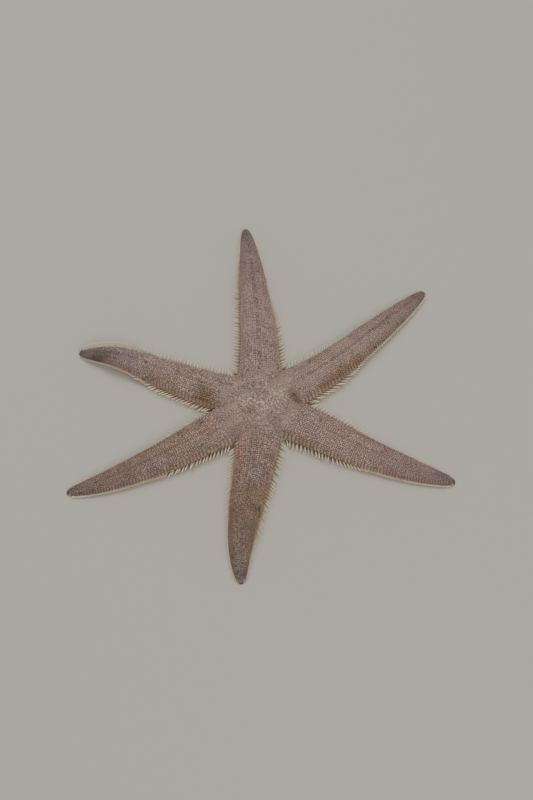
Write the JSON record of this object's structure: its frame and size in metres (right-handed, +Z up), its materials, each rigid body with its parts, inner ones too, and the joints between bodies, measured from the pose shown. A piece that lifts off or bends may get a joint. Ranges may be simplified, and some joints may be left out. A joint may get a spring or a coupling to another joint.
{
  "type": "six-armed sand star, luidia penangensis",
  "caption": "Life-size still model of a live sand star, lying flat with one arm's tip curled up: flat tapering arms with a row of pale spines along each side.",
  "frame": {"origin": "on the floor, under the middle of the star's box", "axes": "+Z up from the underside; +Y along the arm that points away from the picture's viewer; +X to the picture's right"},
  "size_m": [0.1789, 0.1972, 0.0102],
  "materials": {
    "skin": "damp brownish pink skin, closely set with small plates",
    "plate": "pale cream limy plate and spine, matt"
  },
  "bodies": {
    "root": {"disc": "skin", "madreporite": "plate", "mouth": "plate", "arm_1_inner": "skin", "arm_1_middle": "skin", "arm_1_outer": "skin", "arm_1_tip": "plate", "arm_2_inner": "skin", "arm_2_middle": "skin", "arm_2_outer": "skin", "arm_2_tip": "plate", "arm_3_inner": "skin", "arm_3_middle": "skin", "arm_3_outer": "skin", "arm_3_tip": "plate", "arm_4_inner": "skin", "arm_4_middle": "skin", "arm_4_outer": "skin", "arm_4_tip": "plate", "arm_5_inner": "skin", "arm_5_middle": "skin", "arm_5_outer": "skin", "arm_5_tip": "plate", "arm_6_inner": "skin", "arm_6_middle": "skin", "arm_6_outer": "skin", "arm_6_tip": "plate"}
  },
  "joints": []
}
